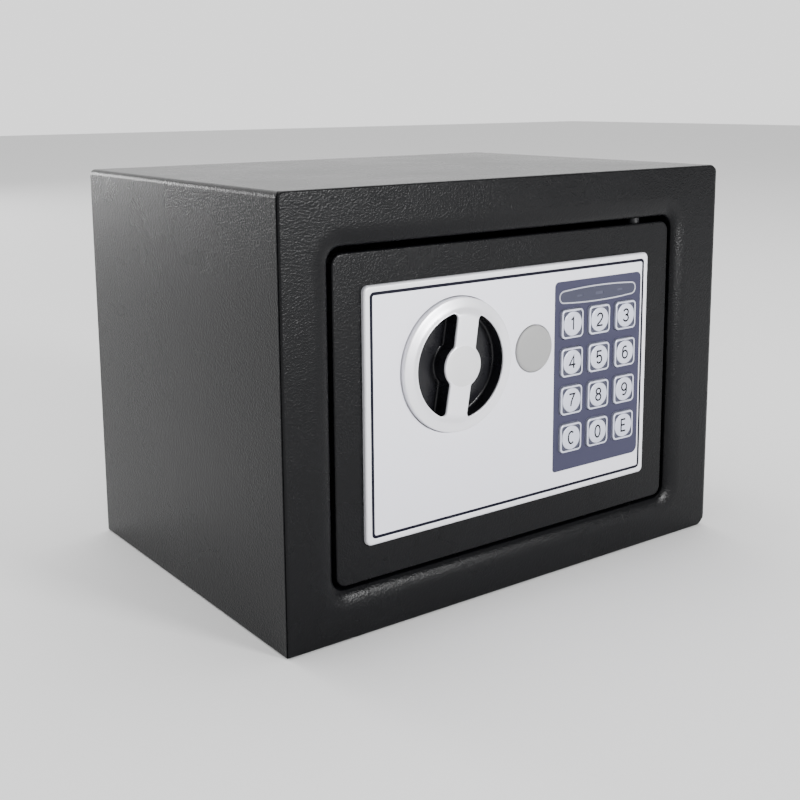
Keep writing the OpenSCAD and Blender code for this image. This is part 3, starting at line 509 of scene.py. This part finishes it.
box_o = C_rr(41, 40, 181.6, 128.0, 1.2, n=10)
box_i = C_rr(42.5, 41.5, 180.1, 126.5, 0.6, n=10)
mb.loft([mb.ring(out(0), DF), mb.ring(box_o(0), DF), mb.ring(box_o(0), 12.6), mb.ring(box_i(0), 12.6), mb.ring(box_i(0), 3.0)])
mb.fill([box_i(0), knob(KR + 1.9), lock(7.5)] + [h(0) for h in holes], 3.0)
put(mb.make("fascia_border", [M["silver_paint_plastic"]]), "door", ["fascia_bezel"])

# dark line: a groove only 0.18 mm deep whose near-black navy floor is painted shade standing in for a deep groove; the
# navy tinge is its own colour
mb = MB()
mb.plate(C_rr(FX0 + 2.5, FZ0 + 2.5, FX1 - 2.5, FZ1 - 2.5, 1.9, n=8),
         [C_rr(FX0 + 3.7, FZ0 + 3.7, FX1 - 3.7, FZ1 - 3.7, 0.9, n=8, sign=-1)], FD + 0.18, FLOOR, b=0.02, bh=0.02)
put(mb.make("dark_line", [M["inlay_navy"]]), "door", ["fascia_inlay"])

PAD = (131.0, 44.4, 182.1, 125.7, (1.6, 3.0, 2.5, 2.2))
mb = MB()
mb.plate(C_rr(FX0 + 3.7, FZ0 + 3.7, FX1 - 3.7, FZ1 - 3.7, 0.9, n=8),
         [C_circ(KX, KZ, KR + 0.4, 128, -1), C_circ(LX, LZ, 10.0, 96, -1), C_rr(*PAD, n=8, sign=-1)], FD, FLOOR, b=0.12, bh=0.08)
put(mb.make("satin_faceplate", [M["faceplate"]]), "door", ["faceplate"])

# keypad plate with its key holes, the window and its light outline
def oval(g=0.0):
    x0, x1, zc, h = 133.6, 179.1, 119.0, 3.6
    xm, hw = (x0 + x1) / 2, (x1 - x0) / 2
    top = []
    n = 40
    for i in range(n + 1):
        u = -math.cos(math.pi * i / n)
        x = xm + hw * u
        ze = 250 - math.sqrt(250 ** 2 - (hw * u) ** 2)
        zz = h - ze
        e = hw * (1 - abs(u))
        if e < 2.4:
            zz = zz - 2.4 + math.sqrt(max(2.4 ** 2 - (2.4 - e) ** 2, 0))
        top.append((x, zz))
    pts = [(x, zc + z) for x, z in reversed(top)][:-0 or None] + [(x, zc - z) for x, z in top]
    out_ = []
    for p in pts:
        if not out_ or math.hypot(p[0] - out_[-1][0], p[1] - out_[-1][1]) > 0.02:
            out_.append(p)
    if math.hypot(out_[0][0] - out_[-1][0], out_[0][1] - out_[-1][1]) < 0.02:
        out_.pop()
    return out_


def ccw(p):
    a = sum(p[i - 1][0] * p[i][1] - p[i][0] * p[i - 1][1] for i in range(len(p)))
    return p if a > 0 else p[::-1]


OV = ccw(oval())
mb = MB()
kh = []
for i in (-1, 0, 1):
    for j in (-1.5, -0.5, 0.5, 1.5):
        cx, cz = 156.45 + i * 15.8, 83.05 + j * 16.37
        kh.append(C_rr(cx - 6.45, cz - 6.45, cx + 6.45, cz + 6.45, 2.3, n=6, sign=-1))
mb.plate(C_rr(*PAD, n=8), kh + [C_poly(OV, -1)], FD + 0.1, FLOOR, b=0.1, bh=0.08)
put(mb.make("keypad_sheet", [M["slate_plate"]]), "door", ["keypad_plate"])

mb = MB()
o0, o1 = C_poly(OV), C_poly(offset(OV, 0.62))
mb.loft([mb.ring(o0(0.02), FLOOR), mb.ring(o0(0.02), FD + 0.12), mb.ring(o0(0.08), FD + 0.04), mb.ring(o1(-0.08), FD + 0.04), mb.ring(o1(0), FD + 0.10)], m=1)
leds = [C_rr(x - w / 2, 119.0 + dz - h / 2, x + w / 2, 119.0 + dz + h / 2, 0.4, n=4, sign=-1) for x, w, h, dz in ((145.5, 3.4, 0.9, -0.2), (157.0, 4.6, 1.3, -0.1), (169.5, 3.4, 0.9, 0.1))]
mb.fill([o1(0)] + [h(0) for h in leds], FD + 0.10)
for h in leds:
    mb.loft([mb.ring(h(0), FD + 0.10), mb.ring(h(0), FD + 0.22)], m=2)
    mb.fill([h(0)], FD + 0.22, m=2)
mb.fill([o0(0.02)], FLOOR)
put(mb.make("window_lens_piece", [M["window_slate"], M["outline"], M["window_dark"]]), "door", ["indicator_window"])

# ------------------------------------------------------------------ keys with plain legends
def arc(cx, cy, rx, ry, a0, a1, n=14):
    return [(cx + rx * math.cos(math.radians(a0 + (a1 - a0) * i / n)), cy + ry * math.sin(math.radians(a0 + (a1 - a0) * i / n))) for i in range(n + 1)]


GL = {   # strokes in a 3.5 x 5.7 mm cell, centred
    "0": [arc(0, 0, 1.5, 2.6, 90, 450, 32)],
    "1": [[(-1.0, 1.7), (-0.35, 2.0), (0.25, 2.6), (0.25, -2.6)]],
    "2": [arc(0, 1.15, 1.5, 1.45, 170, -25, 16) + [(0.2, -0.9), (-1.2, -1.9), (-1.55, -2.6), (1.6, -2.6)]],
    "3": [arc(0, 1.32, 1.4, 1.28, 160, -80, 16) + [(-0.3, 0.1)], [(-0.3, 0.1)] + arc(0, -1.22, 1.5, 1.38, 80, -165, 16)],
    "4": [[(0.75, -2.6), (0.75, 2.6), (-1.7, -1.1), (1.75, -1.1)]],
    "5": [[(1.4, 2.6), (-1.1, 2.6), (-1.35, 0.1)] + arc(0, -0.95, 1.5, 1.65, 140, -150, 18)],
    "6": [arc(0.1, 0.9, 1.5, 1.7, 55, 170, 10) + arc(0, -0.95, 1.5, 1.65, 180, 540, 28)],
    "7": [[(-1.5, 2.6), (1.6, 2.6), (0.5, 0.8), (-0.2, -0.8), (-0.5, -2.6)]],
    "8": [arc(0, 1.38, 1.3, 1.22, -90, 270, 24), arc(0, -1.22, 1.5, 1.38, 90, 450, 26)],
    "9": [arc(-0.1, -0.9, 1.5, 1.7, 235, 350, 10) + arc(0, 0.95, 1.5, 1.65, 0, 360, 28)],
    "C": [arc(0.1, 0, 1.65, 2.6, 48, 312, 26)],
    "E": [[(1.35, 2.6), (-1.2, 2.6), (-1.2, -2.6), (1.45, -2.6)], [(-1.2, 0.1), (1.1, 0.1)]],
}


def stroke(mb, pts, w, cx, cz, d, h, m):
    """flat inked stroke with square ends standing h proud of depth d"""
    P = [Vector((cx + p[0], cz + p[1])) for p in pts]
    Q = [P[0]]
    for p in P[1:]:
        if (p - Q[-1]).length > 0.02: Q.append(p)
    P = Q
    closed = (P[0] - P[-1]).length < 0.05
    if closed: P = P[:-1]
    n = len(P); Lf = []; Rt = []
    for i in range(n):
        a = P[i - 1] if (closed or i > 0) else None
        b = P[(i + 1) % n] if (closed or i < n - 1) else None
        e0 = (P[i] - a).normalized() if a is not None else None
        e1 = (b - P[i]).normalized() if b is not None else None
        e0 = e0 if e0 is not None else e1
        e1 = e1 if e1 is not None else e0
        n0 = Vector((-e0.y, e0.x)); n1 = Vector((-e1.y, e1.x)); mm = (n0 + n1)
        mm = mm.normalized() if mm.length > 1e-5 else n0
        k = max(mm.dot(n0), 0.5)
        Lf.append(P[i] + mm * (w / 2 / k)); Rt.append(P[i] - mm * (w / 2 / k))
    lt = [mb.pt((p.x, d - h, p.y)) for p in Lf]; rt = [mb.pt((p.x, d - h, p.y)) for p in Rt]
    lb = [mb.pt((p.x, d + 0.02, p.y)) for p in Lf]; rb = [mb.pt((p.x, d + 0.02, p.y)) for p in Rt]
    for i in range(n if closed else n - 1):
        j = (i + 1) % n
        mb.face((lt[i], lt[j], rt[j], rt[i]), m); mb.face((lb[i], rb[i], rb[j], lb[j]), m)
        mb.face((lt[i], lb[i], lb[j], lt[j]), m); mb.face((rt[i], rt[j], rb[j], rb[i]), m)
    if not closed:
        mb.face((lt[0], rt[0], rb[0], lb[0]), m); mb.face((lt[-1], lb[-1], rb[-1], rt[-1]), m)


keys = {"1": (-1, 1.5), "2": (0, 1.5), "3": (1, 1.5), "4": (-1, 0.5), "5": (0, 0.5), "6": (1, 0.5),
        "7": (-1, -0.5), "8": (0, -0.5), "9": (1, -0.5), "C": (-1, -1.5), "0": (0, -1.5), "E": (1, -1.5)}
for ch, (i, j) in keys.items():
    cx, cz = 156.45 + i * 15.8, 83.05 + j * 16.37
    mb = MB()
    o = C_rr(cx - 6.15, cz - 6.15, cx + 6.15, cz + 6.15, 2.0, n=8)
    q = C_rr(cx - 5.3, cz - 5.3, cx + 5.3, cz + 5.3, 1.25, n=8, sign=-1)
    c = C_circ(cx, cz, 5.15, 72)
    R = [mb.ring(o(0), 3.0)]
    for k in range(0, 6):
        a = math.pi / 2 * k / 5
        R.append(mb.ring(o(0.28 * (1 - math.cos(a))), -0.5 + 0.28 * (1 - math.sin(a))))
    R += [mb.ring([(p[0], p[1]) for p in rr(cx - 5.3, cz - 5.3, cx + 5.3, cz + 5.3, 1.25, -0.08, 8)], -0.5), mb.ring(q(0), -0.42)]
    mb.loft(R)
    mb.loft([mb.ring(q(0), -0.42), mb.ring(q(0), -0.12)], m=1)
    mb.fill([q(0), c(0)], -0.12, m=1)
    mb.loft([mb.ring(c(0), -0.12), mb.ring(c(0), -0.40), mb.ring(c(0.05), -0.47), mb.ring(c(0.14), -0.5)])
    extra = [(cx + r * math.cos(t * math.pi / 12), cz + r * math.sin(t * math.pi / 12)) for r in (1.6, 3.2) for t in range(24)]
    mb.fill([c(0.14)], lambda p, cx=cx, cz=cz: -0.5 + 0.0 * (p[0] - cx), extra=extra)
    mb.loft([mb.ring(o(0), 3.0), mb.ring(C_rr(cx - 6.85, cz - 6.85, cx + 6.85, cz + 6.85, 2.0, n=8)(0), 3.2),
             mb.ring(C_rr(cx - 6.85, cz - 6.85, cx + 6.85, cz + 6.85, 2.0, n=8)(0), 4.0)])
    mb.fill([C_rr(cx - 6.85, cz - 6.85, cx + 6.85, cz + 6.85, 2.0, n=8)(0), circ(cx, cz, 2.0, 24)], 4.0)
    mb.lathe(cx, cz, [(2.0, 4.0), (2.0, 4.9), (1.8, 5.1), (0, 5.1)], 24)
    for st in GL[ch]:
        stroke(mb, st, 0.74, cx, cz, -0.5, 0.04, 2)
    ob = mb.make("key_cap_" + ch, [M["key_silver"], M["key_dark"], M["legend"]], merge=2e-6)
    put(ob, "button_" + ch.lower(), ["key_" + ch.lower()])

# ------------------------------------------------------------------ lock cap
mb = MB()
mb.lathe(LX, LZ, [(0, -0.62), (2.5, -0.61), (5.0, -0.55), (7.2, -0.42), (8.6, -0.24), (9.2, -0.08), (9.55, 0.16), (9.7, 0.45), (9.7, 1.75), (7.2, 1.75), (7.2, 4.4), (7.0, 4.6), (6.2, 4.6), (6.0, 4.4), (6.0, 1.9), (0, 1.9)], 96)
put(mb.make("lock_cap_disc", [M["cap_grey"]]), "lock_cap", ["key_cover"])

# ------------------------------------------------------------------ knob
TILT = math.radians(9.0)


def KP(x, d, z):
    return W(KX + x * math.cos(TILT) + z * math.sin(TILT), d, KZ - x * math.sin(TILT) + z * math.cos(TILT))


RI, HUB, AW = 21.2, 8.75, 5.15


def pocket(sx, n=10):
    """outline of one finger pocket, in the knob's own x and z, counter-clockwise"""
    rf, rc = 1.6, 1.7
    zc = math.sqrt((HUB + rf) ** 2 - (AW + rf) ** 2)
    p = []
    # hub flank and the two fillets where the arms leave it
    a1 = math.atan2(zc, AW + rf)
    # outer corners: circle of radius rc inside the rim circle and beside the arm
    zo = math.sqrt((RI - rc) ** 2 - (AW + rc) ** 2)
    ao = math.atan2(zo, AW + rc)
    def A(cx, cz, r, s, e, k=n):
        return [(cx + r * math.cos(s + (e - s) * i / k), cz + r * math.sin(s + (e - s) * i / k)) for i in range(k + 1)]
    p += A(0, 0, RI, -ao, ao, 40)
    p += A(AW + rc, zo, rc, ao, math.pi, n)[1:]
    p += A(AW + rf, zc, rf, math.pi, math.pi + a1, 6)
    p += A(0, 0, HUB, a1, -a1, 20)[1:]
    p += A(AW + rf, -zc, rf, math.pi - a1, math.pi, 6)[1:]
    p += A(AW + rc, -zo, rc, math.pi, 2 * math.pi - ao, n)[:-1]
    if sx < 0:
        p = [(-x, z) for x, z in p]
    q = []
    for v in p:
        if not q or math.hypot(v[0] - q[-1][0], v[1] - q[-1][1]) > 0.05: q.append(v)
    if math.hypot(q[0][0] - q[-1][0], q[0][1] - q[-1][1]) < 0.05: q.pop()
    return ccw(q)


def sm(t):
    t = min(max(t, 0), 1); return t * t * (3 - 2 * t)


def KH(p, extra=0.0):
    r = math.hypot(p[0], p[1])
    rim = -2.5 + 0.9 * (r - RI) / 4.9
    bar = -3.8 + 0.25 * (max(r - 9.3, 0) / 11.0) ** 2
    h = bar + (rim - bar) * sm((r - 19.6) / 3.4)
    if r < 8.4:
        h = -3.87 - 0.12 * (1 - (r / 8.4) ** 2)
    elif r < 8.9:
        h = -3.87 + 0.07 * (r - 8.4) / 0.5
    return h + extra


PK = [pocket(1), pocket(-1)]
grid = [(0.0, 0.0)]
for r in (2, 4, 6, 8.0, 8.4, 8.9, 9.6, 11, 13, 15, 17, 18.5, 19.6, 20.2, 20.8, 21.4, 22.0, 22.6, 23.1, 24.2, 25.2):
    k = max(int(r * 4.0), 12)
    grid += [(r * math.cos(2 * math.pi * (i + 0.5) / k), r * math.sin(2 * math.pi * (i + 0.5) / k)) for i in range(k)]
ext = [C_poly(p, -1) for p in PK]
far = [g for g in grid if not any(inside(g, e(0.75)) for e in ext)]
mb = MB(place=KP)
mb.fill([circ(0, 0, 26.1, 128)] + [e(0.45) for e in ext], KH, extra=far)
for e in ext:
    rings = []
    for g, h in ((0.45, 0.0), (0.24, 0.05), (0.07, 0.2), (0.0, 0.42), (0.0, 0.95)):
        rings.append(mb.ring(e(g), lambda p, h=h: KH(p) + h))
    mb.loft(rings)
mb.loft([mb.ring(circ(0, 0, 26.1, 128), lambda p: KH(p)), mb.ring(circ(0, 0, 26.45, 128), -1.47), mb.ring(circ(0, 0, 26.61, 128), -1.25), mb.ring(circ(0, 0, KR, 128), -0.95),
         mb.ring(circ(0, 0, KR, 128), 1.2), mb.ring(circ(0, 0, 26.05, 128), 1.2), mb.ring(circ(0, 0, 26.05, 128), -0.55)])
mb.fill([circ(0, 0, 26.05, 128)] + [e(0) for e in ext], lambda p: KH(p) + 0.95, extra=grid)
for p in range(len(mb.f)):
    c = sum((mb.v[i] for i in mb.f[p]), Vector()) / len(mb.f[p]) - W(KX, 0, KZ)
    if math.hypot(c.x, c.z) < 0.0084 and c.y < 0.02 and mb.m[p] == 0 and c.y + 0.0 < -0.0:
        mb.m[p] = 1 if math.hypot(c.x, c.z) < 0.0080 else 0
put(mb.make("knob_skin", [M["knob_silver"], M["hub_grey"]], sharp=45), "knob", ["knob_face"])

mb = MB(place=KP)
mb.fill([circ(0, 0, 26.0, 96)] + [e(0) for e in ext], lambda p: KH(p) + 0.97, extra=grid)
for pk in PK:
    cp = C_poly(pk)
    rings = [mb.ring(pk, lambda p: KH(p) + 0.97), mb.ring(pk, -0.6), mb.ring(cp(0.04), 2.2), mb.ring(cp(0.12), 2.75), mb.ring(cp(0.4), 3.2), mb.ring(cp(0.9), 3.4)]
    mb.loft(rings)
    mb.fill([cp(0.9)], 3.4)
mb.loft([mb.ring(circ(0, 0, 26.0, 96), lambda p: KH(p) + 0.97), mb.ring(circ(0, 0, 26.0, 96), 1.25), mb.ring(circ(0, 0, KR, 96), 1.25),
         mb.ring(circ(0, 0, KR, 96), 5.2), mb.ring(circ(0, 0, KR - 0.2, 96), 5.4)])
mb.fill([circ(0, 0, KR - 0.2, 96), circ(0, 0, 4.0, 32)], 5.4)
mb.loft([mb.ring(circ(0, 0, 4.0, 32), 5.4), mb.ring(circ(0, 0, 4.0, 32), 1.0)])
mb.fill([circ(0, 0, 4.0, 32)], 1.0)
put(mb.make("knob_core", [M["gloss_black"]], sharp=45), "knob", ["knob_body"])

# ------------------------------------------------------------------ inside of the door and the casing
mb = MB()
co_, ci_ = C_rr(32, 28, 190, 138.5, 3, n=8), C_rr(33.8, 29.8, 188.2, 136.7, 1.2, n=8)
ch_ = [C_rr(127.7, 55, 187.3, 113, 0.8, n=4, sign=-1), C_circ(110, 60, 3.9, 48, -1)]
mb.wall(co_, 46.0, 14.5, 1.4, steps=6)
mb.fill([co_(1.4)] + [h(0.3) for h in ch_], 46.0)
for h in ch_:
    mb.wall(h, 46.0, 44.2, 0.3)
mb.fill([ci_(0)] + [h(0) for h in ch_], 44.2)
mb.loft([mb.ring(ci_(0), 44.2), mb.ring(ci_(0), 14.5), mb.ring(co_(0), 14.5)])
cover = mb.make("door_inner_cover", [M["grey_primer"]])
cut(cover, [rod("k%d" % z, (29, 25.5, z), (37, 25.5, z), 6.8, n=48) for z in (56, 112)])
put(cover, "door", ["inner_cover"])

mb = MB()
mb.plate(C_rr(128, 55.3, 187, 112.7, 1.0, n=5), [], 46.0, 44.2, b=0.4)
for i in range(5):
    c = C_rr(145, 60 + i * 2.4, 170, 61 + i * 2.4, 0.45, n=4)
    mb.loft([mb.ring(c(0), 45.9), mb.ring(c(0), 46.35), mb.ring(c(0.12), 46.53), mb.ring(c(0.3), 46.6)])
    mb.fill([c(0.3)], 46.6)
    mb.fill([c(0)], 45.9)
put(mb.make("battery_lid_panel", [M["black_plastic"]]), "battery_lid", ["battery_cover"])

rods = []
for z in (56, 112):
    rods += [rod("r%d" % z, (25.5, 25.5, z), (52, 25.5, z), 6.0, [M["ground_steel"]], n=64, bev=0.9),
             rod("s%d" % z, (52, 25.5, z), (54.2, 25.5, z), 3.0, [M["ground_steel"]], n=32, bev=0.1),
             rod("t%d" % z, (54, 25.5, z), (55.5, 25.5, z), 4.5, [M["ground_steel"]], n=48, bev=0.45)]
put(join("bolt_rods", rods), "bolt_carriage", ["locking_bolts"])

mb = MB(place=lambda x, d, z: W(x, z, d))
mb.plate(C_rr(3.5, 4, 224.5, 162.5, 2, n=6), [C_circ(65, 95, 5, 48, -1), C_circ(165, 95, 5, 48, -1)], 3.5, 1.5, b=0.5, bh=0.4)
put(mb.make("felt_mat", [M["felt"]]), "casing", ["floor_mat"])

# ------------------------------------------------------------------ stage, light and camera
def plain(name, col, rough=0.9):
    m = bpy.data.materials.new(name); m.use_nodes = True
    b = m.node_tree.nodes["Principled BSDF"]; b.inputs["Base Color"].default_value = (*col, 1); b.inputs["Roughness"].default_value = rough
    b.inputs["Specular IOR Level"].default_value = 0.1
    return m


me = bpy.data.meshes.new("floor"); s = 6.0
me.from_pydata([(-s, -s, 0), (s, -s, 0), (s, s, 0), (-s, s, 0)], [], [(0, 1, 2, 3)])
floor = bpy.data.objects.new("floor", me); bpy.context.scene.collection.objects.link(floor)
floor.location = (0, 0, -0.0002)
me.materials.append(plain("floor_pale", (0.90, 0.90, 0.90)))

WORLD_DIR = (0.05, 1.0, 0.0)
WORLD = (-0.75, 0.65, 0.22, 1.55)      # from in front of the safe to behind it
wd = bpy.data.worlds.new("studio"); bpy.context.scene.world = wd; wd.use_nodes = True
bg = wd.node_tree.nodes["Background"]; bg.inputs[0].default_value = (1, 1, 1, 1)
wn, wl = wd.node_tree.nodes, wd.node_tree.links
wc = wn.new("ShaderNodeTexCoord"); ws = wn.new("ShaderNodeVectorMath"); ws.operation = "DOT_PRODUCT"
ws.inputs[1].default_value = WORLD_DIR
wl.new(wc.outputs["Generated"], ws.inputs[0])
wm = wn.new("ShaderNodeMapRange"); wm.interpolation_type = "SMOOTHSTEP"
wm.inputs[1].default_value = WORLD[0]; wm.inputs[2].default_value = WORLD[1]
wm.inputs[3].default_value = WORLD[2]; wm.inputs[4].default_value = WORLD[3]
wl.new(ws.outputs["Value"], wm.inputs[0]); wl.new(wm.outputs[0], bg.inputs[1])


def area(name, loc, target, size, power, col=(1, 1, 1), sy=None):
    l = bpy.data.lights.new(name, "AREA"); l.energy = power; l.color = col
    l.shape = "RECTANGLE"; l.size = size; l.size_y = sy or size
    o = bpy.data.objects.new(name, l); bpy.context.scene.collection.objects.link(o)
    o.location = loc
    d = Vector(target) - Vector(loc)
    o.rotation_euler = d.to_track_quat("-Z", "Y").to_euler()
    return o


area("front", (0.62, -1.9, 0.5), (-0.05, -0.08, 0.12), 0.42, 48)
area("front_wide", (-0.9, -1.9, 1.2), (0.0, -0.08, 0.1), 1.0, 12)
area("top", (0.1, 0.2, 1.7), (0, 0, 0.1), 1.4, 14)
area("rear_left", (-0.5, 2.2, 0.4), (-0.11, 0.05, 0.1), 0.6, 26)

Rm = ((0.80654782, -0.59112632, -0.00709205), (-0.10680752, -0.13391070, -0.98522083), (0.58144026, 0.79538519, -0.17114212))
cam = bpy.data.cameras.new("camera"); cam.sensor_width = 36.0; cam.lens = 1181.0 / 800 * 36.0
cam.shift_y = -100.0 / 800
cam.clip_start = 0.01; cam.clip_end = 50
co = bpy.data.objects.new("camera", cam); bpy.context.scene.collection.objects.link(co)
X = Vector(Rm[0]); Y = -Vector(Rm[1]); Z = -Vector(Rm[2]); C = W(-202.415, -347.742, 201.996)
co.matrix_world = Matrix(((X.x, Y.x, Z.x, C.x), (X.y, Y.y, Z.y, C.y), (X.z, Y.z, Z.z, C.z), (0, 0, 0, 1)))
bpy.context.scene.camera = co
